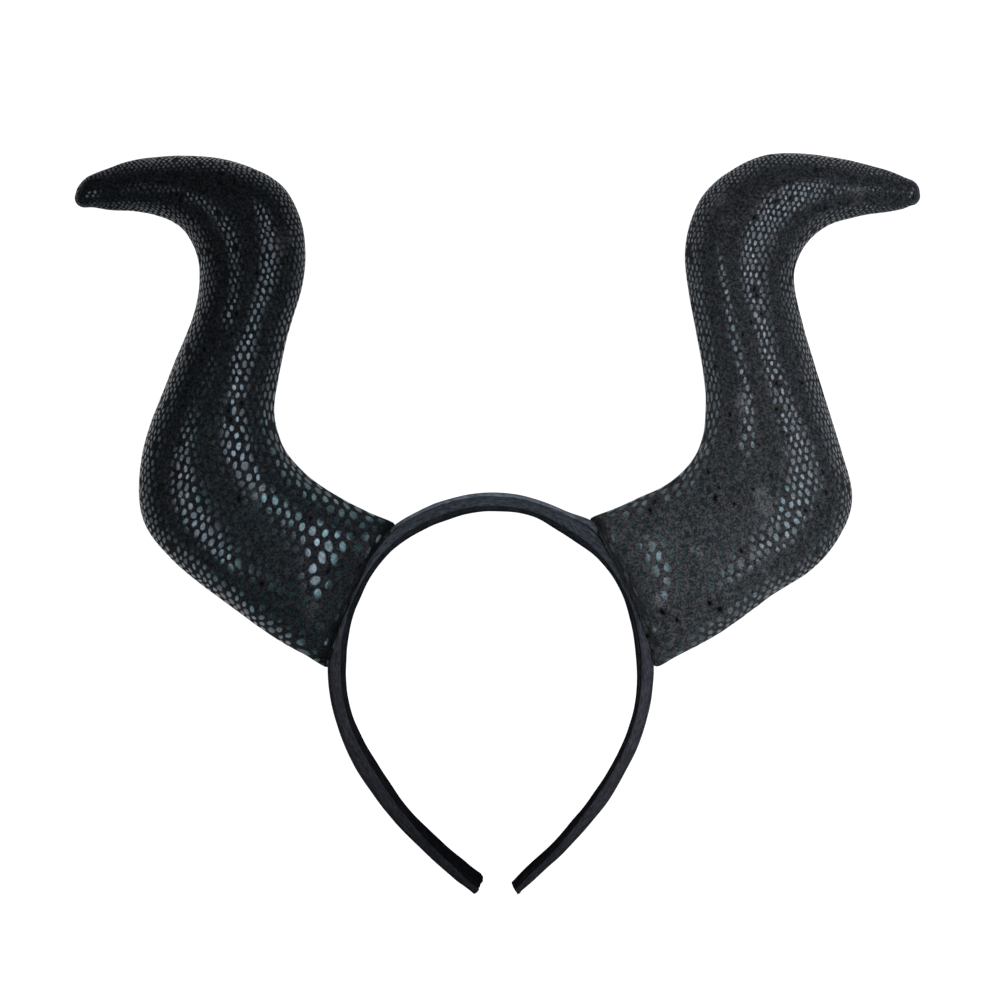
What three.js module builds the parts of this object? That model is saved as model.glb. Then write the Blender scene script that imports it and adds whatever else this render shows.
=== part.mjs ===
// A costume horn headband, lying on its back as it does on a table: two stuffed horns of scale-print
// cloth, sewn on to a springy hoop in a padded satin sleeve.
// Millimetres. +X is the headband's left-to-right, +Y runs from the hoop's ends to its crown, and +Z is
// up off the table, towards the front of the headband. Shapes are worked out from the crown of the hoop,
// and the finished group is moved so that its origin is the bottom centre of its box.

import * as THREE from "three";
import { mergeVertices } from "three/addons/utils/BufferGeometryUtils.js";

// Hoop and sleeve
const HOOP_HEIGHT = 16.8; // middle of the sleeve above the table
const SLEEVE_SQUARENESS = 2.6; // 2 is an ellipse, and more is squarer
const SLEEVE_SIDES = 14;
const SLEEVE_STEP = 5; // between rings along the hoop

// The hoop's middle line is arcs in a row, from the crown down each side to the tip.
const HOOP_ARCS = {
  left: [
    { part: "crown", radius: 57.5, sweep: 45 },
    { part: "shoulder", radius: 65, sweep: 48 },
    { part: "temple", radius: 66, sweep: 27 },
    { part: "leg", radius: 175, sweep: 22.7 },
  ],
  right: [
    { part: "crown", radius: 57.5, sweep: 45 },
    { part: "shoulder", radius: 66, sweep: 50 },
    { part: "temple", radius: 74, sweep: 25 },
    { part: "leg", radius: 190, sweep: 19.3 },
  ],
};

// The sleeve's section along the hoop. at is the distance from the crown, negative to the left. thickness
// is in the plane of the hoop, width is front to back, and twist turns the inner face to the front.
const SLEEVE_SECTIONS = [
  { at: -200, thickness: 4.2, width: 10.4, twist: 26 },
  { at: -186, thickness: 5.8, width: 10.2, twist: 18 },
  { at: -150, thickness: 6.6, width: 10, twist: 9 },
  { at: -100, thickness: 6.4, width: 10, twist: 0 },
  { at: -38, thickness: 7, width: 10, twist: 0 },
  { at: 0, thickness: 6.6, width: 10, twist: 0 },
  { at: 36, thickness: 7.4, width: 10, twist: 0 },
  { at: 100, thickness: 6.4, width: 10, twist: 0 },
  { at: 150, thickness: 5.8, width: 10, twist: 5 },
  { at: 186, thickness: 4.8, width: 9.6, twist: 11 },
  { at: 199, thickness: 4, width: 9.4, twist: 14 },
];

// Horns
const HORN_SIDES = 24;
const HORN_SQUARENESS = 2.25;
const RINGS_PER_ROW = 3;
const SEAT_GAP = 0.3; // between a horn's base and the sleeve
const SEAT_FROM = 40; // along the hoop from the crown
const SEAT_TO = 95;
const SEAT_HALF_DEPTH = 4.9; // how far round the sleeve the base reaches, to the front and to the back
const SEAT_RINGS = 4; // across the seat, between its middle and its rim
const BASE_RINGS = 2; // in the rounded stretch between the rim and the first row
const TIP_RINGS = 4;

// Each row is one section across a horn, from its near edge, which faces the other horn, to its far edge.
// x is measured out from the middle of the headband and y up from the crown. depth is front to back, and
// height is the section's middle above the table: the thick stretches are pressed a little flat by it.
const HORNS = {
  horn_left: {
    side: -1,
    tip: { x: 159.8, y: 119.2 },
    rows: [
      { nearX: 39.5, nearY: -7.2, farX: 65, farY: -62.4, depth: 21, height: 16.8 },
      { nearX: 54.5, nearY: 0, farX: 83.5, farY: -52, depth: 33, height: 16.5 },
      { nearX: 69, nearY: 9, farX: 102.5, farY: -38.5, depth: 36, height: 16.7 },
      { nearX: 79, nearY: 20, farX: 120.5, farY: -24, depth: 37, height: 16.8 },
      { nearX: 82.5, nearY: 31, farX: 132.7, farY: -9, depth: 37, height: 16.8 },
      { nearX: 83, nearY: 37.5, farX: 135.2, farY: 5, depth: 36.5, height: 16.8 },
      { nearX: 81.6, nearY: 47, farX: 132.5, farY: 24, depth: 35.5, height: 16.5 },
      { nearX: 78.3, nearY: 63, farX: 122.8, farY: 51, depth: 34, height: 16 },
      { nearX: 72.8, nearY: 81.5, farX: 113.7, farY: 74.5, depth: 33, height: 15.5 },
      { nearX: 71.2, nearY: 95, farX: 112, farY: 88.5, depth: 33, height: 15.4 },
      { nearX: 73, nearY: 108.5, farX: 113.3, farY: 96, depth: 33, height: 15.3 },
      { nearX: 79.5, nearY: 121, farX: 117.5, farY: 104, depth: 32, height: 15 },
      { nearX: 90, nearY: 127.8, farX: 123.5, farY: 108.5, depth: 30, height: 14.4 },
      { nearX: 104, nearY: 132.4, farX: 130, farY: 110.8, depth: 27, height: 13.6 },
      { nearX: 122, nearY: 133.8, farX: 138, farY: 112.2, depth: 22.5, height: 12.5 },
      { nearX: 139, nearY: 132, farX: 147, farY: 113, depth: 17.5, height: 11.5 },
      { nearX: 151.5, nearY: 127.5, farX: 154.8, farY: 114.6, depth: 12, height: 11 },
    ],
  },
  horn_right: {
    side: 1,
    tip: { x: 165.2, y: 119.6 },
    rows: [
      { nearX: 40, nearY: -6, farX: 66.6, farY: -62, depth: 21, height: 16.8 },
      { nearX: 57, nearY: 1.7, farX: 88.7, farY: -50.3, depth: 33, height: 16.5 },
      { nearX: 69.5, nearY: 8, farX: 109, farY: -35.5, depth: 36, height: 16.7 },
      { nearX: 78.3, nearY: 17.5, farX: 125.6, farY: -24.2, depth: 37, height: 16.8 },
      { nearX: 81.5, nearY: 25.5, farX: 136.3, farY: -9.2, depth: 37, height: 16.8 },
      { nearX: 82.4, nearY: 33.5, farX: 139, farY: 2.7, depth: 36.5, height: 16.8 },
      { nearX: 82.4, nearY: 43, farX: 136.3, farY: 15.5, depth: 36, height: 16.6 },
      { nearX: 79, nearY: 65.5, farX: 125.9, farY: 49, depth: 34, height: 15.9 },
      { nearX: 74.9, nearY: 92.3, farX: 117, farY: 84, depth: 33, height: 15.4 },
      { nearX: 76.3, nearY: 105.5, farX: 118.3, farY: 93, depth: 33, height: 15.3 },
      { nearX: 82.5, nearY: 119.2, farX: 123.3, farY: 101, depth: 32.5, height: 15.1 },
      { nearX: 95, nearY: 129.2, farX: 130, farY: 106.3, depth: 30.5, height: 14.5 },
      { nearX: 107, nearY: 133.9, farX: 135.6, farY: 108.4, depth: 28, height: 13.8 },
      { nearX: 124, nearY: 134.2, farX: 143.2, farY: 110.4, depth: 24, height: 12.8 },
      { nearX: 142, nearY: 131.2, farX: 152.5, farY: 112.2, depth: 18.5, height: 11.7 },
      { nearX: 155, nearY: 127.4, farX: 159, farY: 113.8, depth: 12.5, height: 11.1 },
      { nearX: 161.2, nearY: 124.5, farX: 162.6, farY: 115.4, depth: 8.5, height: 11 },
    ],
  },
};

const satin = new THREE.MeshStandardMaterial({ color: 0x25272d, roughness: 0.45, metalness: 0 });
const scalePrint = new THREE.MeshStandardMaterial({ color: 0x2b3035, roughness: 0.55, metalness: 0.1 });

const WELD_DISTANCE = 1e-3; // points closer than this are one point

const { cos, sin, abs, sign, min, max, PI } = Math;
const radians = THREE.MathUtils.degToRad;
const lerp = THREE.MathUtils.lerp;

// A number raised to a power with its sign kept, which squares off an ellipse.
function signedPower(value, power) {
  return sign(value) * abs(value) ** power;
}

// One point of a squared-off ellipse of unit half-width and half-depth.
function roundedSection(angle, squareness) {
  return {
    across: signedPower(cos(angle), 2 / squareness),
    deep: signedPower(sin(angle), 2 / squareness),
  };
}

// A closed skin over a row of rings with the same number of points each. A ring may fold flat or shrink
// to one point, which closes that end: the faces that vanish there are dropped.
function loft(rings) {
  const sides = rings[0].length;
  const triangles = [];
  for (let row = 0; row + 1 < rings.length; row++) {
    for (let side = 0; side < sides; side++) {
      const a = row * sides + side;
      const b = row * sides + ((side + 1) % sides);
      triangles.push(a, b, a + sides, b, b + sides, a + sides);
    }
  }
  const open = new THREE.BufferGeometry().setFromPoints(rings.flat());
  open.setIndex(triangles);
  const skin = mergeVertices(open, WELD_DISTANCE);
  const kept = [];
  for (let i = 0; i < skin.index.count; i += 3) {
    const [a, b, c] = skin.index.array.slice(i, i + 3);
    if (a !== b && b !== c && c !== a) kept.push(a, b, c);
  }
  skin.setIndex(kept);
  skin.computeVertexNormals();
  return skin;
}

function repeated(point, times) {
  return Array.from({ length: times }, () => point.clone());
}

function centreOf(ring) {
  return ring.reduce((sum, point) => sum.add(point), new THREE.Vector3()).divideScalar(ring.length);
}

// The middle line of the hoop at a distance along it from the crown, negative to the left, and the way
// that faces out of the hoop there.
function hoopAt(distance) {
  const side = distance < 0 ? -1 : 1;
  const arcs = side < 0 ? HOOP_ARCS.left : HOOP_ARCS.right;
  const point = new THREE.Vector2();
  let heading = 0;
  let remaining = abs(distance);
  for (const { radius, sweep } of arcs) {
    const turn = min(remaining / radius, radians(sweep));
    point.x += radius * (sin(heading + turn) - sin(heading));
    point.y += radius * (cos(heading + turn) - cos(heading));
    heading += turn;
    remaining -= turn * radius;
  }
  point.x *= side;
  return { point, outward: new THREE.Vector2(side * sin(heading), cos(heading)) };
}

function hoopLength(arcs) {
  return arcs.reduce((length, { radius, sweep }) => length + radius * radians(sweep), 0);
}

// The sleeve's thickness, width and twist at a distance from the crown, eased between the table's rows.
function sleeveSection(distance) {
  const after = SLEEVE_SECTIONS.findIndex((row) => row.at >= distance);
  const next = SLEEVE_SECTIONS[after < 0 ? SLEEVE_SECTIONS.length - 1 : max(after, 1)];
  const last = SLEEVE_SECTIONS[SLEEVE_SECTIONS.indexOf(next) - 1];
  const share = THREE.MathUtils.smoothstep(distance, last.at, next.at);
  return {
    thickness: lerp(last.thickness, next.thickness, share),
    width: lerp(last.width, next.width, share),
    twist: radians(lerp(last.twist, next.twist, share)),
  };
}

function sleeveRing(distance) {
  const { point, outward } = hoopAt(distance);
  const { thickness, width, twist } = sleeveSection(distance);
  return Array.from({ length: SLEEVE_SIDES }, (_, side) => {
    const { across, deep } = roundedSection((2 * PI * side) / SLEEVE_SIDES, SLEEVE_SQUARENESS);
    const radial = (across * thickness * cos(twist) + deep * width * sin(twist)) / 2;
    const rise = (deep * width * cos(twist) - across * thickness * sin(twist)) / 2;
    return new THREE.Vector3(
      point.x + outward.x * radial,
      point.y + outward.y * radial,
      HOOP_HEIGHT + rise,
    );
  });
}

// The hoop in its sleeve, as one solid from the left tip to the right tip.
function headbandGeometry() {
  const from = -hoopLength(HOOP_ARCS.left);
  const to = hoopLength(HOOP_ARCS.right);
  const steps = Math.round((to - from) / SLEEVE_STEP);
  const rings = Array.from({ length: steps + 1 }, (_, step) => sleeveRing(lerp(from, to, step / steps)));
  const startCap = repeated(centreOf(rings[0]), SLEEVE_SIDES);
  const endCap = repeated(centreOf(rings[steps]), SLEEVE_SIDES);
  return loft([startCap, ...rings, endCap]);
}

// A ring of a horn's seat, which follows the outside of the sleeve with a small gap. spread is 0 along the
// middle of the seat and 1 at its rim.
function seatRing(side, spread) {
  return Array.from({ length: HORN_SIDES }, (_, corner) => {
    const angle = (2 * PI * corner) / HORN_SIDES;
    const distance = lerp(SEAT_FROM, SEAT_TO, (1 - cos(angle)) / 2);
    const { point, outward } = hoopAt(side * distance);
    const { thickness, width } = sleeveSection(side * distance);
    const { deep } = roundedSection(angle, HORN_SQUARENESS);
    const rise = deep * SEAT_HALF_DEPTH * spread;
    const roundTheSleeve = 1 - abs(rise / (width / 2 + SEAT_GAP)) ** SLEEVE_SQUARENESS;
    const radial = (thickness / 2 + SEAT_GAP) * roundTheSleeve ** (1 / SLEEVE_SQUARENESS);
    return new THREE.Vector3(
      point.x + outward.x * radial,
      point.y + outward.y * radial,
      HOOP_HEIGHT + rise,
    );
  });
}

// A ring across a horn between two edge points, never below the table.
function hornRing(side, near, far, depth, height) {
  return Array.from({ length: HORN_SIDES }, (_, corner) => {
    const { across, deep } = roundedSection((2 * PI * corner) / HORN_SIDES, HORN_SQUARENESS);
    const share = (1 - across) / 2;
    return new THREE.Vector3(
      side * lerp(near.x, far.x, share),
      lerp(near.y, far.y, share),
      max(height + (deep * depth) / 2, 0),
    );
  });
}

// The rounded stretch between the rim of the seat and the first row, which swells out like a cushion's end.
function baseRings(rim, firstRow) {
  return Array.from({ length: BASE_RINGS }, (_, ring) => {
    const share = (ring + 1) / (BASE_RINGS + 1);
    const swell = Math.sqrt(1 - (1 - share) ** 2);
    return rim.map((point, corner) => {
      const along = point.clone().lerp(firstRow[corner], share);
      along.z = lerp(point.z, firstRow[corner].z, swell);
      return along;
    });
  });
}

// The blunt end of a horn: the last ring shrinks towards the tip along a quarter of an ellipse.
function tipRings(lastRing, tip) {
  const centre = centreOf(lastRing);
  return Array.from({ length: TIP_RINGS }, (_, ring) => {
    const angle = ((ring + 1) / TIP_RINGS) * (PI / 2);
    const middle = centre.clone().lerp(tip, sin(angle));
    return lastRing.map((point) => point.clone().sub(centre).multiplyScalar(cos(angle)).add(middle));
  });
}

// A stuffed horn: the seat, its rounded base, the rows of the table joined by smooth curves, and the tip.
function hornGeometry({ side, tip, rows }) {
  const nearEdge = new THREE.CatmullRomCurve3(
    rows.map(({ nearX, nearY, depth }) => new THREE.Vector3(nearX, nearY, depth)),
  );
  const farEdge = new THREE.CatmullRomCurve3(
    rows.map(({ farX, farY, height }) => new THREE.Vector3(farX, farY, height)),
  );
  const steps = (rows.length - 1) * RINGS_PER_ROW;
  const body = Array.from({ length: steps + 1 }, (_, step) => {
    const near = nearEdge.getPoint(step / steps);
    const far = farEdge.getPoint(step / steps);
    return hornRing(side, near, far, near.z, far.z);
  });
  const seat = Array.from({ length: SEAT_RINGS + 1 }, (_, ring) => seatRing(side, ring / SEAT_RINGS));
  const rim = seat[SEAT_RINGS];
  const tipPoint = new THREE.Vector3(side * tip.x, tip.y, rows.at(-1).height);
  const rings = [...seat, ...baseRings(rim, body[0]), ...body, ...tipRings(body[steps], tipPoint)];
  // The left horn's rings run round the other way, so they are turned to keep its faces outwards.
  return loft(side < 0 ? rings.map((ring) => [...ring].reverse()) : rings);
}

function piece(name, geometry, material) {
  const mesh = new THREE.Mesh(geometry, material);
  mesh.name = name;
  return mesh;
}

const hornHeadband = new THREE.Group();
hornHeadband.add(piece("headband", headbandGeometry(), satin));
for (const [name, horn] of Object.entries(HORNS)) {
  hornHeadband.add(piece(name, hornGeometry(horn), scalePrint));
}

const box = new THREE.Box3().setFromObject(hornHeadband, true);
const middle = box.getCenter(new THREE.Vector3());
for (const mesh of hornHeadband.children) {
  mesh.position.set(-middle.x, -middle.y, -box.min.z);
}

export default hornHeadband;
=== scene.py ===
"""A costume headband: a hoop in a satin sleeve, with two stuffed horns of scale-print cloth sewn on."""

import math

import bmesh
import bpy
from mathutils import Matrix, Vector, kdtree, noise
from mathutils.bvhtree import BVHTree


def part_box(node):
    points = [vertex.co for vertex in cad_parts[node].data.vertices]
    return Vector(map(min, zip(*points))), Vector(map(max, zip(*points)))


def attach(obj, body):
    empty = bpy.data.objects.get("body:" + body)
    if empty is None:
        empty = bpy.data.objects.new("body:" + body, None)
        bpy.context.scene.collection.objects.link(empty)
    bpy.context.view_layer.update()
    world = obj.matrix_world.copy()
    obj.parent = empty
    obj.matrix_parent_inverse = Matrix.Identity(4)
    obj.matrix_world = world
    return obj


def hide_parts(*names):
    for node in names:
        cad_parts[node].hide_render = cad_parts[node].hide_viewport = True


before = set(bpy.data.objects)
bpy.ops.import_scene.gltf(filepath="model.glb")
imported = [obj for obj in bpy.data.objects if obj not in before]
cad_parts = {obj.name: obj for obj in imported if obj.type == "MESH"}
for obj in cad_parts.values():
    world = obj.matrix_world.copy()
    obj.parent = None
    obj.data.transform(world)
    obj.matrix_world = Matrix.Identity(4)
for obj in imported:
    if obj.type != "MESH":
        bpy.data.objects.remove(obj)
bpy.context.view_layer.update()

# The sleeve of the headband: one strip of black satin over thin wadding, folded round a springy hoop and run
# together along the front, which leaves a flat outer fold and a shallow inner one. Both tips are gathered in.
MM = 0.001
MERGE_DISTANCE = 0.001 * MM
PAIR_ANGLE = math.radians(60)
POLE_EDGES = 7
SAME_HEIGHT = 0.01 * MM
OUTER_TURN = 0.25
SLEEVE_LEVELS = 3
SLEEVE_GIRTH = 27 * MM
SLEEVE_SWELLS = [
    {"far": 0, "inner": 2.2, "outer": -1.8},
    {"far": 8, "inner": 1.5, "outer": -0.1},
    {"far": 20, "inner": 0.7, "outer": -0.2},
    {"far": 40, "inner": -0.3, "outer": 0.5},
    {"far": 62, "inner": 0.5, "outer": 0.6},
    {"far": 85, "inner": 0.4, "outer": -0.5},
    {"far": 108, "inner": 1.1, "outer": -0.7},
    {"far": 130, "inner": 0.6, "outer": -0.2},
    {"far": 150, "inner": -0.2, "outer": -0.2},
    {"far": 180, "inner": 1.0, "outer": -0.5},
    {"far": 200, "inner": 0.3, "outer": 0.1},
    {"far": 217, "inner": -0.3, "outer": -0.1},
    {"far": 231, "inner": 0.8, "outer": -0.3},
    {"far": 257, "inner": -0.9, "outer": -0.1},
    {"far": 290, "inner": 0.8, "outer": -0.9},
    {"far": 320, "inner": -0.4, "outer": -0.5},
    {"far": 352, "inner": -1.0, "outer": 0.6},
    {"far": 375, "inner": -0.2, "outer": -0.2},
    {"far": 391, "inner": 0.8, "outer": -0.9},
    {"far": 402, "inner": 0.2, "outer": -0.9},
]
SLEEVE_FOLDS = [
    {"turn": 0.325, "at_legs": 0.325, "depth": -0.5 * MM, "width": 1.1 * MM},
    {"turn": 0.405, "at_legs": 0.39, "depth": 1.1 * MM, "width": 0.5 * MM},
    {"turn": 0.565, "at_legs": 0.60, "depth": -0.3 * MM, "width": 0.8 * MM},
    {"turn": 0.62, "at_legs": 0.655, "depth": 0.8 * MM, "width": 0.5 * MM},
]
FOLDS_DRIFT = (45 * MM, 120 * MM)
RIPPLE_HEIGHT = 0.2 * MM
RIPPLE_LENGTH = 9 * MM
RIPPLES_ROUND = 5
RIPPLE_SEED = 3.1
WEB_HEIGHT = 2.8 * MM
WEB_REACH = 7.5 * MM
TIP_REACH = 5 * MM
NOTCH_WIDTH = 0.4
TIPS = [
    {"loop": 1, "behind": 4, "slant": -0.9 * MM, "notch": 0.8 * MM, "notch_at": 0.4},
    {"loop": -2, "behind": -5, "slant": 0.5 * MM, "notch": 0.3 * MM, "notch_at": 0.0},
]
SATIN_DARK = (0.027, 0.032, 0.039, 1)
SATIN_LIGHT = (0.076, 0.089, 0.109, 1)
# The light colour is bluer at the crown than on the legs: painted cool light from above, on the crown.
SATIN_LEGS = (0.087, 0.086, 0.106, 1)
WEAVE_CELLS = (700, 80, 1)
WEAVE_HEIGHT = 0.08 * MM
WEAVE_STRENGTH = 0.3
PATCH_SCALE = 160
PATCH_SPREAD = (0.3, 0.7)
PATCH_TONES = (0.65, 1.0)
PATCH_ROUGHNESS = (0.45, 0.6)
# Painted light: the satin is painted paler towards the crown, where light from above falls on it, and darker
# along the legs.
SATIN_CROWN_LIT = (110 * MM, 195 * MM)
CROWN_LIT_FAR_TONE = 0.5
# Painted shade: the left leg is painted darker, away from the light.
LEFT_LEG_SHADE = (120 * MM, 40 * MM)
LEFT_LEG_SHADE_TONE = 0.66
# Painted light: the outer fold near the crown is painted paler, where light from above catches it.
LIT_FOLD_START = (0.2, 0.24)
LIT_FOLD_END = (0.4, 0.386)
LIT_FOLD_TONE = 2.2
LIT_FOLD_REACH = (22 * MM, 48 * MM)
# Painted shade: the inner fold on the underside is painted darker.
UNDERSIDE_START = (0.6, 0.625)
UNDERSIDE_DRIFT = 0.035
UNDERSIDE_SHADE_TONE = 0.36
# Painted shade: a dark line is painted along the crease of the outer fold.
CREASE_SHADE_SPREAD = (0.006, 0.02)
CREASE_SHADE_TONE = 0.35


def merged_copy(node):
    """The solid of a CAD node with its loose triangles merged."""
    bm = bmesh.new()
    bm.from_mesh(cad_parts[node].data)
    bmesh.ops.remove_doubles(bm, verts=bm.verts, dist=MERGE_DISTANCE)
    bm.verts.index_update()
    return bm


def loops_along(bm):
    """The loops of verts round a lofted solid, from one closed end to the other, each beside the last."""
    pole = max(bm.verts, key=lambda v: (len(v.link_edges), -v.co.x))
    seen = {pole}
    loop = [pole]
    loops = []
    while loop:
        beyond = {edge.other_vert(v) for v in loop for edge in v.link_edges} - seen
        seen |= beyond
        loop = walk_round(beyond)
        if loops and len(loop) == len(loops[-1]):
            loop = turned_to(loop, loops[-1])
        if loop:
            loops.append(loop)
    return [[pole]] + loops


def walk_round(verts):
    """The verts of one closed loop, in order along its edges."""
    left = set(verts)
    order = []
    following = min(left, key=lambda v: v.index, default=None)
    while following is not None:
        left.remove(following)
        order.append(following)
        ahead = [edge.other_vert(following) for edge in following.link_edges]
        following = next((v for v in ahead if v in left), None)
    return order


def turned_to(loop, before):
    """The loop, turned and if need be reversed so that its verts lie beside those of the loop before it."""
    size = len(loop)
    ways = [way[k:] + way[:k] for way in (loop, loop[::-1]) for k in range(size)]
    return min(ways, key=lambda way: sum((a.co - b.co).length for a, b in zip(way, before)))


def swell(far, side):
    """How far the sleeve stands out on one side, at a distance along it, where its wadding lies unevenly."""
    rows = [(row["far"] * MM, row[side] * MM) for row in SLEEVE_SWELLS]
    for (before, low), (after, high) in zip(rows, rows[1:]):
        if far < after:
            ease = 0.5 - 0.5 * math.cos(math.pi * (max(far, before) - before) / (after - before))
            return low + (high - low) * ease
    return rows[-1][1]


def finished(bm, name, material):
    """A new object at the origin, made of the bmesh, with smooth faces."""
    mesh = bpy.data.meshes.new(name)
    bm.to_mesh(mesh)
    bm.free()
    mesh.shade_smooth()
    mesh.materials.append(material)
    piece = bpy.data.objects.new(name, mesh)
    bpy.context.scene.collection.objects.link(piece)
    return piece


def take_shape(piece):
    """Makes the shape that the piece's modifiers give its mesh, and leaves no modifier on it."""
    graph = bpy.context.evaluated_depsgraph_get()
    shown = piece.evaluated_get(graph)
    mesh = bpy.data.meshes.new_from_object(shown, preserve_all_data_layers=True, depsgraph=graph)
    piece.modifiers.clear()
    piece.data = mesh


def add_rounding(piece, levels):
    """Puts a subdivision surface on the piece."""
    rounding = piece.modifiers.new("rounding", "SUBSURF")
    rounding.levels = levels
    rounding.render_levels = levels


def subdivide(piece, levels):
    """Rounds the piece's faces with a subdivision surface."""
    add_rounding(piece, levels)
    take_shape(piece)


def feed(tree, socket, value):
    """Sets a socket to a value, or links another node's output to it."""
    if isinstance(value, bpy.types.NodeSocket):
        tree.links.new(value, socket)
    else:
        socket.default_value = value


def add_node(tree, kind, settings=None, inputs=None):
    """A shader node with its settings; each input takes a value or another node's output."""
    node = tree.nodes.new("ShaderNode" + kind)
    for name, value in (settings or {}).items():
        setattr(node, name, value)
    for name, value in (inputs or {}).items():
        feed(tree, node.inputs[name], value)
    return node


def maths(tree, operation, *values):
    """The result of a Math node on values and outputs."""
    node = add_node(tree, "Math", {"operation": operation}, dict(enumerate(values)))
    return node.outputs[0]


def ranged(tree, value, low, high, to_low=0.0, to_high=1.0):
    """A value eased from one range to another."""
    settings = {"interpolation_type": "SMOOTHSTEP", "clamp": True}
    inputs = {"Value": value, "From Min": low, "From Max": high, "To Min": to_low, "To Max": to_high}
    return add_node(tree, "MapRange", settings, inputs).outputs[0]


def mixed(tree, factor, first, second):
    """A colour between two colours."""
    inputs = {"Factor": factor, "A": first, "B": second}
    node = tree.nodes.new("ShaderNodeMix")
    node.data_type = "RGBA"
    for name, value in inputs.items():
        socket = next(s for s in node.inputs if s.name == name and s.type != "VECTOR" and s.enabled)
        feed(tree, socket, value)
    return next(s for s in node.outputs if s.enabled)


def toned(tree, colour, tone):
    """A colour made lighter or darker by a tone."""
    return add_node(tree, "VectorMath", {"operation": "SCALE"}, {0: colour, "Scale": tone}).outputs[0]


def new_material(name):
    """An empty material, its tree and its output node."""
    material = bpy.data.materials.new(name)
    material.use_nodes = True
    tree = material.node_tree
    tree.nodes.clear()
    output = add_node(tree, "OutputMaterial")
    return material, tree, output


def satin_material(crown_far):
    """Black satin: a fine uneven weave, with painted light that makes it paler and bluer towards the crown
    and paler still on the outer fold there, and painted shade on the left leg, on the inner underside and in
    the crease of the outer fold.
    """
    material, tree, output = new_material("black satin")
    along = add_node(tree, "UVMap", {"uv_map": "strip"}).outputs[0]
    weave = add_node(tree, "Mapping", None, {"Vector": along, "Scale": WEAVE_CELLS}).outputs[0]
    threads = add_node(tree, "TexVoronoi", {"voronoi_dimensions": "2D"}, {"Vector": weave, "Scale": 1.0})
    threads = add_node(tree, "SeparateColor", None, {0: threads.outputs["Color"]}).outputs[0]
    spot = add_node(tree, "TexCoord").outputs["Object"]
    mottle = {"Vector": spot, "Scale": PATCH_SCALE, "Detail": 3}
    patches = add_node(tree, "TexNoise", None, mottle).outputs[0]
    shade = maths(tree, "MULTIPLY", threads, ranged(tree, patches, *PATCH_SPREAD, *PATCH_TONES))
    far, turn = add_node(tree, "SeparateXYZ", None, {0: along}).outputs[:2]
    from_crown = maths(tree, "ABSOLUTE", maths(tree, "SUBTRACT", far, crown_far))
    # Painted light: paler at the crown, darker away from it.
    crown_lit = ranged(tree, from_crown, *SATIN_CROWN_LIT, 1.0, CROWN_LIT_FAR_TONE)
    # Painted shade: darker down the left leg.
    down_left = maths(tree, "SUBTRACT", crown_far, far)
    crown_lit = maths(tree, "MULTIPLY", crown_lit, ranged(tree, down_left, *LEFT_LEG_SHADE, LEFT_LEG_SHADE_TONE, 1.0))
    # Painted light: the crown's weave is painted bluer, as cool light from above falls on it.
    light = mixed(tree, ranged(tree, from_crown, *FOLDS_DRIFT), SATIN_LIGHT, SATIN_LEGS)
    # Painted light: the outer fold is painted paler near the crown.
    fold = maths(tree, "MULTIPLY", ranged(tree, turn, *LIT_FOLD_START), ranged(tree, turn, *LIT_FOLD_END))
    fold = maths(tree, "MULTIPLY", fold, ranged(tree, from_crown, *LIT_FOLD_REACH, LIT_FOLD_TONE, 0.0))
    # Painted shade: darker on the inner underside fold.
    inward = maths(tree, "SUBTRACT", turn, ranged(tree, from_crown, *FOLDS_DRIFT, 0.0, UNDERSIDE_DRIFT))
    under = ranged(tree, inward, *UNDERSIDE_START, 1.0, UNDERSIDE_SHADE_TONE)
    outer_fold = SLEEVE_FOLDS[1]
    # Painted shade along the outer fold's crease, and on the inner fold below.
    crease_at = ranged(tree, from_crown, *FOLDS_DRIFT, outer_fold["turn"], outer_fold["at_legs"])
    from_crease = maths(tree, "ABSOLUTE", maths(tree, "SUBTRACT", turn, crease_at))
    crease_shade = ranged(tree, from_crease, *CREASE_SHADE_SPREAD, CREASE_SHADE_TONE, 1.0)
    dimmed = maths(tree, "MULTIPLY", under, crease_shade)
    tone = maths(tree, "MULTIPLY", maths(tree, "ADD", crown_lit, fold), dimmed)
    colour = toned(tree, mixed(tree, shade, SATIN_DARK, light), tone)
    raised = {"Height": threads, "Strength": WEAVE_STRENGTH, "Distance": WEAVE_HEIGHT}
    relief = add_node(tree, "Bump", None, raised)
    inputs = {
        "Base Color": colour,
        "Roughness": ranged(tree, patches, *PATCH_SPREAD, *PATCH_ROUGHNESS),
        "Specular IOR Level": 0.0,
        "Normal": relief.outputs[0],
    }
    surface = add_node(tree, "BsdfPrincipled", None, inputs)
    tree.links.new(surface.outputs[0], output.inputs["Surface"])
    return material


bm = merged_copy("headband")
loops = loops_along(bm)
middles = [sum((v.co for v in loop), Vector()) / len(loop) for loop in loops]
travelled = [0.0]
for before, after in zip(middles, middles[1:]):
    travelled.append(travelled[-1] + (after - before).length)
sides = len(loops[1])
crown = max(range(len(loops)), key=lambda k: middles[k].y)
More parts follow.
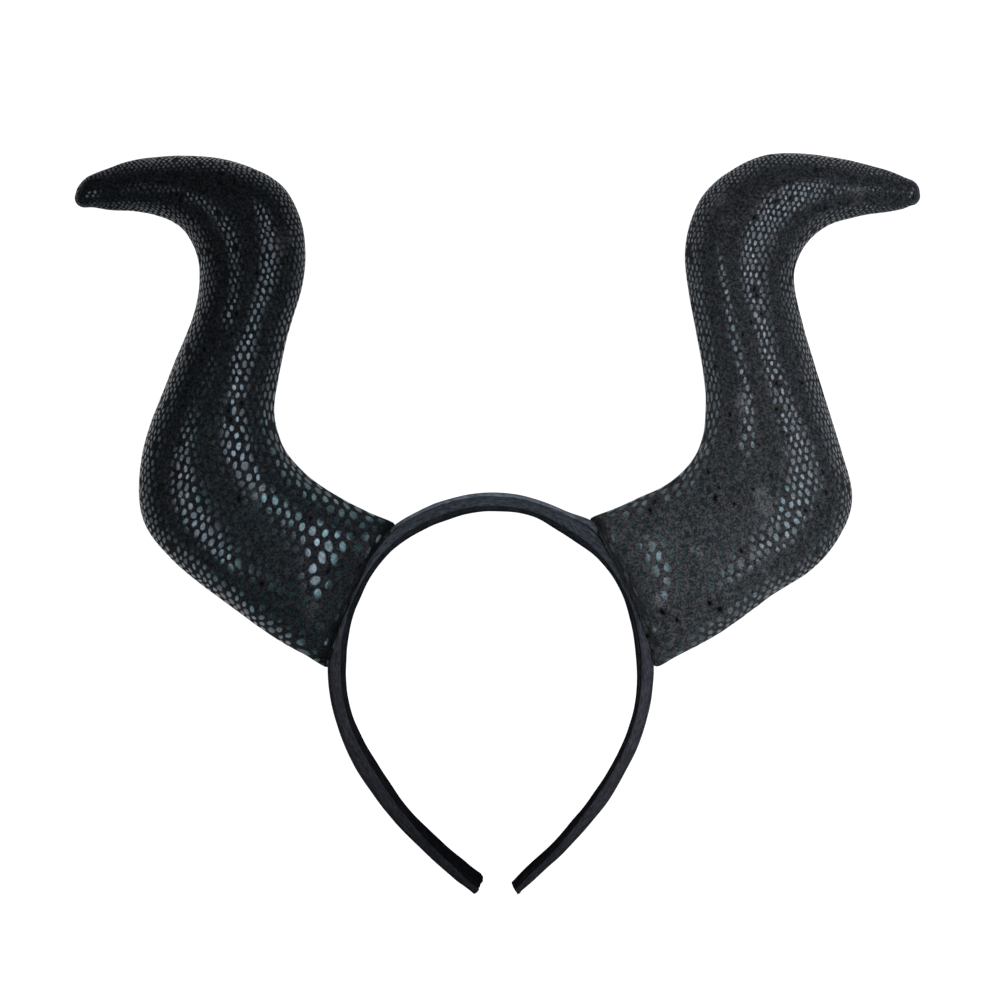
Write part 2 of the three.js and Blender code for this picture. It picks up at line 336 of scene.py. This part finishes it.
# The underside is level between two verts of a loop. Turns round the sleeve count from the inner one.
bottom = min(v.co.z for v in loops[crown]) + SAME_HEIGHT
lowest = min(range(sides), key=lambda i: (loops[crown][i].co.z > bottom, loops[crown][i].co.y))
upward = loops[crown][(lowest + 1) % sides].co.y > loops[crown][(lowest - 1) % sides].co.y
place = {}
for k, loop in enumerate(loops):
    for i, v in enumerate(loop):
        step = (i - lowest) % sides if upward else (lowest - i) % sides
        place[v] = (travelled[k], step / sides)
bmesh.ops.join_triangles(
    bm, faces=bm.faces, angle_face_threshold=PAIR_ANGLE, angle_shape_threshold=math.pi
)
strip = bm.loops.layers.uv.new("strip")
for face in bm.faces:
    turns = [place[v][1] for v in face.verts if len(v.link_edges) < POLE_EDGES]
    wraps = max(turns) - min(turns) > 0.5
    for corner in face.loops:
        far, turn = place[corner.vert]
        corner[strip].uv = (far, turn + 1 if wraps and turn < 0.5 else turn)
crease = bm.edges.layers.float.new("crease_edge")
for rim in (set(loops[1]), set(loops[-2])):
    for edge in bm.edges:
        if rim.issuperset(edge.verts):
            edge[crease] = 1.0
for tip in TIPS:
    tip["end"] = middles[tip["loop"]]
    tip["ahead"] = (tip["end"] - middles[tip["behind"]]).normalized()
    tip["across"] = Vector((-tip["ahead"].y, tip["ahead"].x, 0)).normalized()
    tip["half"] = max((v.co - tip["end"]).dot(tip["across"]) for v in loops[tip["loop"]])
sleeve = finished(bm, "satin_sleeve", satin_material(travelled[crown]))
subdivide(sleeve, SLEEVE_LEVELS)
bm = bmesh.new()
bm.from_mesh(sleeve.data)
bm.normal_update()
strip = bm.loops.layers.uv["strip"]
horn_corners = [v.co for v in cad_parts["horn_right"].data.vertices]
ear = min(horn_corners, key=lambda corner: (corner - middles[crown]).length)
web = min(range(len(loops)), key=lambda k: (middles[k].xy - ear.xy).length)
for v in bm.verts:
    far, turn = v.link_loops[0][strip].uv
    outer = math.cos((turn - OUTER_TURN) * math.tau)
    push = abs(outer) * swell(far, "outer" if outer > 0 else "inner")
    ripple = Vector((far / RIPPLE_LENGTH, turn * RIPPLES_ROUND, RIPPLE_SEED))
    push += RIPPLE_HEIGHT * noise.noise(ripple)
    ease = (abs(far - travelled[crown]) - FOLDS_DRIFT[0]) / (FOLDS_DRIFT[1] - FOLDS_DRIFT[0])
    ease = max(0.0, min(1.0, ease))
    for fold in SLEEVE_FOLDS:
        line = fold["turn"] + (fold["at_legs"] - fold["turn"]) * ease
        away = (turn % 1 - line) * SLEEVE_GIRTH
        push -= fold["depth"] * math.exp(-((away / fold["width"]) ** 2))
    push += WEB_HEIGHT * max(0.0, outer) * math.exp(-(((far - travelled[web]) / WEB_REACH) ** 2))
    v.co += v.normal * push
for tip in TIPS:
    for v in bm.verts:
        away = v.co - tip["end"]
        nearness = max(0.0, 1 + min(0.0, away.dot(tip["ahead"])) / TIP_REACH)
        if away.length < 2 * TIP_REACH and nearness:
            aside = away.dot(tip["across"]) / tip["half"]
            notched = math.exp(-(((aside - tip["notch_at"]) / NOTCH_WIDTH) ** 2))
            pull = tip["slant"] * aside - tip["notch"] * notched
            v.co += tip["ahead"] * pull * nearness**2
bm.normal_update()
sleeve_surface = BVHTree.FromBMesh(bm)
bm.to_mesh(sleeve.data)
bm.free()
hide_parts("headband")
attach(sleeve, "root")

# The horns: two panels each of black stretch cloth with a foil print of small scales, sewn along the outline,
# turned, stuffed firm and sewn on to the sleeve at the base. The print is larger towards the headband.
SEAM_LEAN = 0.14
BASE_FOLD = math.radians(45)
BASE_CREASE = 0.9
FILL_LEVELS = 3
START_INSET = 0.5 * MM
SWELL_LIMIT = 1.0 * MM
SWELL_FRAMES = 20
SMOOTH_STEPS = 5
SMOOTH_FACTOR = 0.5
COVER_FULLNESS = 0.4 * MM
SEAM_DEPTH = 0.3 * MM
SEAM_WIDTH = 1.2 * MM
SEAM_DRAW = 0.3
SEAM_DRAW_REACH = 9 * MM
PUCKER_HEIGHT = 0.12 * MM
PUCKER_LENGTH = 6 * MM
PUCKER_REACH = 7 * MM
LUMP_HEIGHT = 0.25 * MM
LUMP_LENGTH = 26 * MM
PANEL_ROUNDING = 15 * MM
BACK_PANEL_SHIFT = Vector((7 * MM, 11 * MM))
SCALE_SIZE = 4.9 * MM
SCALE_SIZE_REACH = 74 * MM
SCALE_SHRINK = 1.8
SCALE_ROWS_TURN = math.radians(-33)
SCALE_HALF_WIDTH = 0.35
SCALE_HALF_HEIGHT = 0.57
SCALE_JITTER = 0.22
SCALE_WANDER = 0.9
WANDER_SCALE = 0.3
SCALE_SIZE_LUCK = (0.5, 0.95)
SCALE_EDGE = (1.08, 0.6)
SCALE_HEIGHT = 0.008
BALD_LUCK = (0.95, 0.96)
SPOT_EDGE = (0.55, 0.3)
SPOT_DARKENING = 0.9
KNIT_LOOPS = (2000, 1800, 1)
KNIT_HEIGHT = 0.03
TUFT_SCALE = 0.55
LOOP_SHARE = 0.75
DRIFT_SCALE = 38
SCUFF_SCALE = 52
SCUFF_EDGE = (0.63, 0.74)
SCUFF_TONE = 2.0
# Painted light: both horns are one cloth and one foil, painted lighter on the right horn, which more light
# reaches, and darker on the left; each horn's foil also has its own painted lightness at the base.
HORN_LIT_TONES = {
    "horn_left": {"cloth": 2.7, "foil": 0.75, "foil_at_base": 1.9},
    "horn_right": {"cloth": 8.8, "foil": 1.25, "foil_at_base": 0.85},
}
CLOTH_WARM = (0.0083, 0.0077, 0.0083, 1)
CLOTH_COOL = (0.0071, 0.0079, 0.0085, 1)
CLOTH_GRAIN = (0.2, 0.9)
CLOTH_TONES = (0.45, 1.65)
# Painted shade: the cloth is painted darker towards the tips, where less light falls.
CLOTH_FAR_SHADE = 0.5
CLOTH_UNDER_FOIL = 0.6
CLOTH_GLOSS = 0.0022
CLOTH_ROUGHNESS = 0.52
CLOTH_BARE = (0.0, 0.3)
FOIL_GLOSS = 0.076
FOIL_LUCK = (0.9, 0.5)
FOIL_GRAIN = (0.1, 0.9)
FOIL_TONES = (0.7, 1.3)
FOIL_FAR_TONE = 0.8
FOIL_ROUGHNESS = 0.22
FOIL_ONSET = (0.0, 0.12)
FOIL_BLUE = (0.35, 0.9, 1.35, 1)
FOIL_TEAL = (0.56, 1.02, 1.12, 1)
FOIL_GREY = (0.78, 0.98, 1.16, 1)
FOIL_VIOLET = (1.02, 0.92, 1.2, 1)
TINT_LUCK = 0.3
TINT_DRIFT = 1.2
TINT_BY_REACH = (0.15, 0.6)
TINT_GREY = (0.85, 1.15)
TINT_VIOLET = (1.35, 1.6)
PRINT_REACH = (70 * MM, 190 * MM)
PRINT_CENTRE_DROP = 60 * MM
STITCHES_FELT = 24
SEW_REACH = 6 * MM
SEW_LIMIT = 3 * MM
BASE_REACH = 2.5 * MM
# Painted shade: cloth and foil are painted darker in a narrow band along the base seam, where the cloth turns
# in.
BASE_CLOTH_SHADE = 0.7
BASE_FOIL_SHADE = 0.9
EAR_FULLNESS = 1.4 * MM
EAR_REACH = 7 * MM
POINT_FULLNESS = 0.9 * MM
POINT_REACH = 14 * MM


def scale_print_group():
    """A node group for matte cloth with glossy foil scales, whose size falls off away from the headband."""
    tree = bpy.data.node_groups.new("scale print", "ShaderNodeTree")
    sockets = [
        ("INPUT", "Panel", "Vector"),
        ("INPUT", "Cloth Lightness", "Float"),
        ("INPUT", "Foil Lightness", "Float"),
        ("INPUT", "Foil At Base", "Float"),
        ("OUTPUT", "Colour", "Color"),
        ("OUTPUT", "Metallic", "Float"),
        ("OUTPUT", "Roughness", "Float"),
        ("OUTPUT", "Normal", "Vector"),
    ]
    for way, name, kind in sockets:
        tree.interface.new_socket(name, in_out=way, socket_type="NodeSocket" + kind)
    given = tree.nodes.new("NodeGroupInput").outputs
    panel = given["Panel"]
    low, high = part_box("headband")
    head = ((low.x + high.x) / 2, high.y - PRINT_CENTRE_DROP, 0)
    from_head = add_node(tree, "VectorMath", {"operation": "SUBTRACT"}, {0: panel, 1: head}).outputs[0]
    parts = add_node(tree, "SeparateXYZ", None, {0: from_head}).outputs
    reach = add_node(tree, "VectorMath", {"operation": "LENGTH"}, {0: from_head}).outputs["Value"]
    angle = maths(tree, "ARCTAN2", maths(tree, "ABSOLUTE", parts[0]), parts[1])
    angle = maths(tree, "MULTIPLY_ADD", angle, SCALE_SHRINK, SCALE_ROWS_TURN)
    relative = maths(tree, "DIVIDE", reach, SCALE_SIZE_REACH)
    spread = SCALE_SIZE_REACH / SCALE_SIZE / SCALE_SHRINK
    radius = maths(tree, "MULTIPLY", maths(tree, "POWER", relative, SCALE_SHRINK), spread)

    up = maths(tree, "MULTIPLY", radius, maths(tree, "COSINE", angle))
    across = maths(tree, "MULTIPLY", radius, maths(tree, "SINE", angle))
    grid = add_node(tree, "CombineXYZ", None, {"X": across, "Y": up}).outputs[0]
    flat = {"noise_dimensions": "2D"}
    wander = add_node(tree, "TexNoise", flat, {"Vector": grid, "Scale": WANDER_SCALE, "Detail": 1})
    wander = add_node(tree, "SeparateColor", None, {0: wander.outputs["Color"]}).outputs
    up = maths(tree, "MULTIPLY_ADD", wander[0], SCALE_WANDER, up)
    across = maths(tree, "MULTIPLY_ADD", wander[1], SCALE_WANDER, across)
    row = maths(tree, "FLOOR", up)
    stagger = maths(tree, "MULTIPLY", maths(tree, "FLOORED_MODULO", row, 2.0), 0.5)
    across = maths(tree, "ADD", across, stagger)
    column = maths(tree, "FLOOR", across)
    side = maths(tree, "SIGN", parts[0])
    number = add_node(tree, "CombineXYZ", None, {"X": column, "Y": row, "Z": side}).outputs[0]
    chance = add_node(tree, "TexWhiteNoise", {"noise_dimensions": "3D"}, {"Vector": number})
    luck = add_node(tree, "SeparateColor", None, {0: chance.outputs["Color"]}).outputs
    aside = maths(tree, "MULTIPLY_ADD", luck[0], SCALE_JITTER, -0.5 - SCALE_JITTER / 2)
    above = maths(tree, "MULTIPLY_ADD", luck[1], SCALE_JITTER, -0.5 - SCALE_JITTER / 2)
    wide = maths(tree, "DIVIDE", maths(tree, "ADD", maths(tree, "FRACT", across), aside), SCALE_HALF_WIDTH)
    tall = maths(tree, "DIVIDE", maths(tree, "ADD", maths(tree, "FRACT", up), above), SCALE_HALF_HEIGHT)
    off_middle = add_node(tree, "CombineXYZ", None, {"X": wide, "Y": tall}).outputs[0]
    off_middle = add_node(tree, "VectorMath", {"operation": "LENGTH"}, {0: off_middle}).outputs["Value"]
    smallness = maths(tree, "MULTIPLY_ADD", luck[2], *SCALE_SIZE_LUCK)
    off_middle = maths(tree, "MULTIPLY", off_middle, smallness)
    scale = ranged(tree, off_middle, *SCALE_EDGE)
    bald = ranged(tree, luck[0], *BALD_LUCK)
    spot = maths(tree, "MULTIPLY", bald, ranged(tree, off_middle, *SPOT_EDGE))
    foiled = maths(tree, "MULTIPLY", scale, maths(tree, "SUBTRACT", 1.0, bald))

    knit = add_node(tree, "Mapping", None, {"Vector": panel, "Scale": KNIT_LOOPS}).outputs[0]
    cells = {"voronoi_dimensions": "2D"}
    loops = add_node(tree, "TexVoronoi", cells, {"Vector": knit, "Scale": 1.0})
    tufts = add_node(tree, "TexVoronoi", cells, {"Vector": knit, "Scale": TUFT_SCALE})
    loops = add_node(tree, "SeparateColor", None, {0: loops.outputs["Color"]}).outputs
    tufts = add_node(tree, "SeparateColor", None, {0: tufts.outputs["Color"]}).outputs
    tufts = maths(tree, "MULTIPLY", tufts[0], 1 - LOOP_SHARE)
    grain = maths(tree, "MULTIPLY_ADD", loops[0], LOOP_SHARE, tufts)
    drift = add_node(tree, "TexNoise", flat, {"Vector": panel, "Scale": DRIFT_SCALE, "Detail": 2})
    drift = maths(tree, "MULTIPLY", drift.outputs[0], TINT_DRIFT)
    scuff = add_node(tree, "TexNoise", flat, {"Vector": panel, "Scale": SCUFF_SCALE, "Detail": 5})
    scuff = ranged(tree, scuff.outputs[0], *SCUFF_EDGE, 1.0, SCUFF_TONE)

    cloth = ranged(tree, grain, *CLOTH_GRAIN, *CLOTH_TONES)
    cloth = maths(tree, "MULTIPLY", cloth, given["Cloth Lightness"])
    # Painted shade: darker cloth towards the tips.
    cloth = maths(tree, "MULTIPLY", cloth, ranged(tree, reach, *PRINT_REACH, 1.0, CLOTH_FAR_SHADE))
    cloth = maths(tree, "MULTIPLY", cloth, scuff)
    cloth = maths(tree, "MULTIPLY", cloth, ranged(tree, scale, 0.0, 1.0, 1.0, CLOTH_UNDER_FOIL))
    cloth = maths(tree, "MULTIPLY", cloth, maths(tree, "MULTIPLY_ADD", spot, -SPOT_DARKENING, 1.0))
    yarn = mixed(tree, loops[1], CLOTH_WARM, CLOTH_COOL)
    tint = maths(tree, "MULTIPLY_ADD", luck[1], TINT_LUCK, drift)
    tint = maths(tree, "ADD", tint, ranged(tree, reach, *PRINT_REACH, *TINT_BY_REACH))
    foil = mixed(tree, ranged(tree, tint, *TINT_GREY), FOIL_TEAL, FOIL_GREY)
    foil = mixed(tree, ranged(tree, tint, *TINT_VIOLET), foil, FOIL_VIOLET)
    foil = mixed(tree, foiled, FOIL_BLUE, foil)
    gloss = maths(tree, "MULTIPLY", FOIL_GLOSS, maths(tree, "MULTIPLY_ADD", luck[2], *FOIL_LUCK))
    gloss = maths(tree, "MULTIPLY", gloss, ranged(tree, grain, *FOIL_GRAIN, *FOIL_TONES))
    gloss = maths(tree, "MAXIMUM", maths(tree, "MULTIPLY", gloss, foiled), CLOTH_GLOSS)
    # The foil runs lighter towards the headband, to each horn's base value, and darker towards the tips; the
    # per-horn base values are painted light.
    foil_by_reach = ranged(tree, reach, *PRINT_REACH, given["Foil At Base"], FOIL_FAR_TONE)
    gloss = maths(tree, "MULTIPLY", maths(tree, "MULTIPLY", gloss, foil_by_reach), given["Foil Lightness"])
    layers = {0: toned(tree, foil, gloss), 1: toned(tree, yarn, cloth)}
    colour = add_node(tree, "VectorMath", {"operation": "ADD"}, layers)
    dull = maths(tree, "MULTIPLY", cloth, CLOTH_WARM[1])
    metallic = maths(tree, "DIVIDE", gloss, maths(tree, "ADD", gloss, dull))
    bare = ranged(tree, scale, *CLOTH_BARE, 1.0, 0.0)
    height = maths(tree, "MULTIPLY", maths(tree, "MULTIPLY", grain, bare), KNIT_HEIGHT)
    height = maths(tree, "MULTIPLY_ADD", scale, SCALE_HEIGHT, height)
    relief = add_node(tree, "Bump", None, {"Height": height, "Strength": 1.0, "Distance": MM})
    roughness = ranged(tree, foiled, *FOIL_ONSET, CLOTH_ROUGHNESS, FOIL_ROUGHNESS)
    output = tree.nodes.new("NodeGroupOutput").inputs
    tree.links.new(colour.outputs[0], output["Colour"])
    tree.links.new(metallic, output["Metallic"])
    tree.links.new(roughness, output["Roughness"])
    tree.links.new(relief.outputs[0], output["Normal"])
    return tree


def scale_print_material(name, print_group, lit_tones):
    """The scale print, with each horn's own painted light on cloth and foil, and painted shade along the base
    where the cloth turns in.
    """
    material, tree, output = new_material(name)
    panel = add_node(tree, "UVMap", {"uv_map": "panel"}).outputs[0]
    # Painted shade along the base seam, weighted by the attribute that sew_on writes.
    base_seam_shade = add_node(tree, "Attribute", {"attribute_name": "base_seam_shade"}).outputs["Fac"]
    cloth_shaded = -BASE_CLOTH_SHADE * lit_tones["cloth"]
    foil_shaded = -BASE_FOIL_SHADE * lit_tones["foil"]
    given = {
        "Panel": panel,
        "Cloth Lightness": maths(tree, "MULTIPLY_ADD", base_seam_shade, cloth_shaded, lit_tones["cloth"]),
        "Foil Lightness": maths(tree, "MULTIPLY_ADD", base_seam_shade, foil_shaded, lit_tones["foil"]),
        "Foil At Base": lit_tones["foil_at_base"],
    }
    scales = add_node(tree, "Group", {"node_tree": print_group}, given).outputs
    inputs = {
        "Base Color": scales["Colour"],
        "Metallic": scales["Metallic"],
        "Roughness": scales["Roughness"],
        "Normal": scales["Normal"],
        "Specular IOR Level": 0.0,
    }
    surface = add_node(tree, "BsdfPrincipled", None, inputs)
    tree.links.new(surface.outputs[0], output.inputs["Surface"])
    return material


def lay_print(piece):
    """Gives the panels flat coordinates in metres, as the face lies, eased out where the cloth turns away."""
    bm = bmesh.new()
    bm.from_mesh(piece.data)
    bm.normal_update()
    panel = bm.loops.layers.uv.new("panel")
    flat = {}
    for v in bm.verts:
        lean = math.acos(max(-1.0, min(1.0, abs(v.normal.z))))
        side = v.normal.xy.normalized() if v.normal.xy.length > 1e-6 else Vector((0, 0))
        flat[v] = v.co.xy + side * PANEL_ROUNDING * (lean - math.sin(lean))
    for face in bm.faces:
        shift = Vector((0, 0)) if face.normal.z > 0 else BACK_PANEL_SHIFT
        for corner in face.loops:
            corner[panel].uv = flat[corner.vert] + shift
    bm.to_mesh(piece.data)
    bm.free()


def fill_out(piece):
    """Moves the corners of the piece out, so that its rounded faces still pass through where they were."""
    add_rounding(piece, FILL_LEVELS)
    rounded = piece.evaluated_get(bpy.context.evaluated_depsgraph_get()).data
    drawn_in = [v.co - at.co for v, at in zip(piece.data.vertices, rounded.vertices)]
    piece.modifiers.clear()
    for v, inward in zip(piece.data.vertices, drawn_in):
        v.co += inward


def stuff(piece):
    """Swells the cover with filling, held at its seams, and leaves the swollen shape as the mesh."""
    start = [v.co.copy() for v in piece.data.vertices]
    held = {v for edge in piece.data.edges if edge.use_seam for v in edge.vertices}
    sewn = piece.vertex_groups.new(name="sewn")
    sewn.add(sorted(held), 1.0, "REPLACE")
    for i, v in enumerate(piece.data.vertices):
        if i not in held:
            v.co -= v.normal * START_INSET
    filling = piece.modifiers.new("filling", "CLOTH")
    filling.settings.quality = 6
    filling.settings.mass = 0.15
    filling.settings.tension_stiffness = 15
    filling.settings.compression_stiffness = 15
    filling.settings.shear_stiffness = 5
    filling.settings.bending_stiffness = 0.2
    filling.settings.shrink_min = -0.01
    filling.settings.use_pressure = True
    filling.settings.uniform_pressure_force = 4
    filling.settings.vertex_group_mass = "sewn"
    filling.settings.effector_weights.gravity = 0
    filling.point_cache.frame_end = SWELL_FRAMES
    for step in range(1, SWELL_FRAMES + 1):
        bpy.context.scene.frame_set(step)
    take_shape(piece)
    bpy.context.scene.frame_set(1)
    for v, rest in zip(piece.data.vertices, start):
        move = v.co - rest
        if move.length > SWELL_LIMIT:
            v.co = rest + move.normalized() * SWELL_LIMIT
    bm = bmesh.new()
    bm.from_mesh(piece.data)
    loose = [v for v in bm.verts if v.index not in held]
    for step in range(SMOOTH_STEPS):
        bmesh.ops.smooth_vert(
            bm, verts=loose, factor=SMOOTH_FACTOR, use_axis_x=True, use_axis_y=True, use_axis_z=True
        )
    bm.to_mesh(piece.data)
    bm.free()


def sew_on(bm):
    """Draws the rim of the base on to the sleeve, and the cloth beside it along; the two ears at its ends."""
    crease = bm.edges.layers.float["crease_edge"]
    base_seam_shade = bm.verts.layers.float.new("base_seam_shade")
    rim = [v for v in bm.verts if any(edge[crease] > 0.5 for edge in v.link_edges)]
    stitched = kdtree.KDTree(len(rim))
    draws = []
    for i, v in enumerate(rim):
        stitched.insert(v.co, i)
        draw = sleeve_surface.find_nearest(v.co)[0] - v.co
        draws.append(draw if draw.length < SEW_LIMIT else draw.normalized() * SEW_LIMIT)
    stitched.balance()
    moves = []
    for v in bm.verts:
        nearby = stitched.find_n(v.co, STITCHES_FELT)
        pulls = [(draws[i], math.exp(-((away / SEW_REACH) ** 2))) for at, i, away in nearby]
        total = sum(weight for draw, weight in pulls)
        nearest = stitched.find(v.co)[2]
        # A weight for painted shade along the base seam, where the cloth turns in.
        v[base_seam_shade] = math.exp(-((nearest / BASE_REACH) ** 2))
        move = sum((draw * weight for draw, weight in pulls), Vector()) / max(total, 1e-9)
        moves.append(move * math.exp(-((nearest / SEW_REACH) ** 2)))
    for v, move in zip(bm.verts, moves):
        v.co += move
    return min(rim, key=lambda v: v.co.y), max(rim, key=lambda v: v.co.y)


def finish_cloth(piece):
    """Draws the seam in, puckers the cloth beside it, and lets the filling show as soft lumps."""
    bm = bmesh.new()
    bm.from_mesh(piece.data)
    ears = sew_on(bm)
    bm.normal_update()
    point = max(bm.verts, key=lambda v: abs(v.co.x))
    plumps = [(ear.co.copy(), EAR_FULLNESS, EAR_REACH) for ear in ears]
    plumps.append((point.co.copy(), POINT_FULLNESS, POINT_REACH))
    for v in bm.verts:
        fullness = sum(full * math.exp(-(((v.co - at).length / reach) ** 2)) for at, full, reach in plumps)
        v.co += Vector((v.normal.x, v.normal.y, 0)) * fullness
    bm.normal_update()
    seam = [v for v in bm.verts if any(edge.seam for edge in v.link_edges)]
    nearby = kdtree.KDTree(len(seam))
    for i, v in enumerate(seam):
        nearby.insert(v.co, i)
    nearby.balance()
    for v in bm.verts:
        at, i, away = nearby.find(v.co)
        v.co.z += (at.z - v.co.z) * SEAM_DRAW * math.exp(-((away / SEAM_DRAW_REACH) ** 2))
        push = COVER_FULLNESS - SEAM_DEPTH * math.exp(-((away / SEAM_WIDTH) ** 2))
        gather = noise.noise(v.co / PUCKER_LENGTH)
        push += PUCKER_HEIGHT * gather * math.exp(-((away / PUCKER_REACH) ** 2))
        push += LUMP_HEIGHT * noise.noise(v.co / LUMP_LENGTH)
        v.co += v.normal * push
        v.co.z = max(v.co.z, 0.0)
    bm.to_mesh(piece.data)
    bm.free()


print_group = scale_print_group()
for node, lit_tones in HORN_LIT_TONES.items():
    bm = merged_copy(node)
    bm.normal_update()
    crease = bm.edges.layers.float.new("crease_edge")
    for edge in bm.edges:
        edge.seam = all(abs(v.normal.z) < SEAM_LEAN for v in edge.verts)
        edge[crease] = BASE_CREASE if edge.calc_face_angle() > BASE_FOLD else 0.0
    bmesh.ops.join_triangles(
        bm,
        faces=bm.faces,
        cmp_seam=True,
        angle_face_threshold=PAIR_ANGLE,
        angle_shape_threshold=math.pi,
    )
    horn = finished(bm, node + "_cover", scale_print_material(node + " scale print", print_group, lit_tones))
    fill_out(horn)
    subdivide(horn, 1)
    lay_print(horn)
    stuff(horn)
    subdivide(horn, 1)
    finish_cloth(horn)
    horn.data.shade_smooth()
    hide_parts(node)
    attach(horn, "root")

# The floor: a wide sheet of white acrylic for the headband to lie on, lit from beneath so that it shows no
# shadow. It looks full white, in the foil too, and throws only a little light up at the cloth of the horns.
FLOOR_SIZE = 6.0
FLOOR_WHITE = (0.93, 0.93, 0.94, 1)
FLOOR_GLOW = 1.04
FLOOR_MIRRORED = 0.85
FLOOR_SPILL = 0.2
FLOOR_GREY = (0.32, 0.32, 0.325, 1)
FLOOR_ROUGHNESS = 0.9
material, tree, output = new_material("white acrylic")
path = add_node(tree, "LightPath").outputs
glow = maths(tree, "MULTIPLY_ADD", path["Is Glossy Ray"], FLOOR_MIRRORED - FLOOR_SPILL, FLOOR_SPILL)
glow = maths(tree, "MULTIPLY_ADD", path["Is Camera Ray"], FLOOR_GLOW - FLOOR_SPILL, glow)
inputs = {
    "Base Color": FLOOR_GREY,
    "Roughness": FLOOR_ROUGHNESS,
    "Emission Color": FLOOR_WHITE,
    "Emission Strength": glow,
}
acrylic = add_node(tree, "BsdfPrincipled", None, inputs)
tree.links.new(acrylic.outputs[0], output.inputs["Surface"])
bm = bmesh.new()
bmesh.ops.create_grid(bm, x_segments=1, y_segments=1, size=FLOOR_SIZE / 2)
floor = finished(bm, "floor", material)

# The light: a long softbox on each side of the camera, which draws a streak down each side of a horn, and a
# small low one for the right tip. The room is grey and dark overhead, so that scales that lie flat look
# black.
SOFTBOXES = [
    {"name": "softbox_right", "at": (0.8, 0.1, 1.6), "width": 0.8, "length": 2.2, "watts": 17},
    {"name": "softbox_low", "at": (1.45, 0.25, 1.35), "width": 0.6, "length": 0.9, "watts": 2.2},
    {"name": "softbox_left", "at": (-0.78, -0.3, 1.25), "width": 0.5, "length": 1.2, "watts": 5.0},
]
ROOM_LOW = (0.32, 0.33, 0.35, 1)
ROOM_HIGH = (0.044, 0.047, 0.051, 1)
ROOM_DARKENS = (0.05, 0.45)
for box in SOFTBOXES:
    light = bpy.data.lights.new(box["name"], "AREA")
    light.shape = "RECTANGLE"
    light.size = box["width"]
    light.size_y = box["length"]
    light.energy = box["watts"]
    softbox = bpy.data.objects.new(box["name"], light)
    softbox.location = box["at"]
    softbox.rotation_euler = (0, math.atan2(box["at"][0], box["at"][2]), 0)
    bpy.context.scene.collection.objects.link(softbox)
room = bpy.data.worlds.new("room")
room.use_nodes = True
tree = room.node_tree
tree.nodes.clear()
toward = add_node(tree, "TexCoord").outputs["Generated"]
overhead = add_node(tree, "SeparateXYZ", None, {0: toward}).outputs["Z"]
glow = mixed(tree, ranged(tree, overhead, *ROOM_DARKENS), ROOM_LOW, ROOM_HIGH)
walls = add_node(tree, "Background", None, {"Color": glow, "Strength": 1.0})
add_node(tree, "OutputWorld", None, {"Surface": walls.outputs[0]})
bpy.context.scene.world = room
bpy.context.scene.view_settings.view_transform = "Standard"

# The camera: straight above the headband and a metre over the middle of the horns, as a copy stand holds it,
# so that the front is seen square on. The frame is measured across at that middle height.
CAMERA_HEIGHT = 1.0168
CAMERA_AIM = (0.001, 0.0088)
FRAME_WIDTH = 0.3846
MIDDLE_HEIGHT = 0.0168
lens = bpy.data.cameras.new("camera")
lens.lens = lens.sensor_width * (CAMERA_HEIGHT - MIDDLE_HEIGHT) / FRAME_WIDTH
camera = bpy.data.objects.new("camera", lens)
camera.location = (*CAMERA_AIM, CAMERA_HEIGHT)
bpy.context.scene.collection.objects.link(camera)
bpy.context.scene.camera = camera
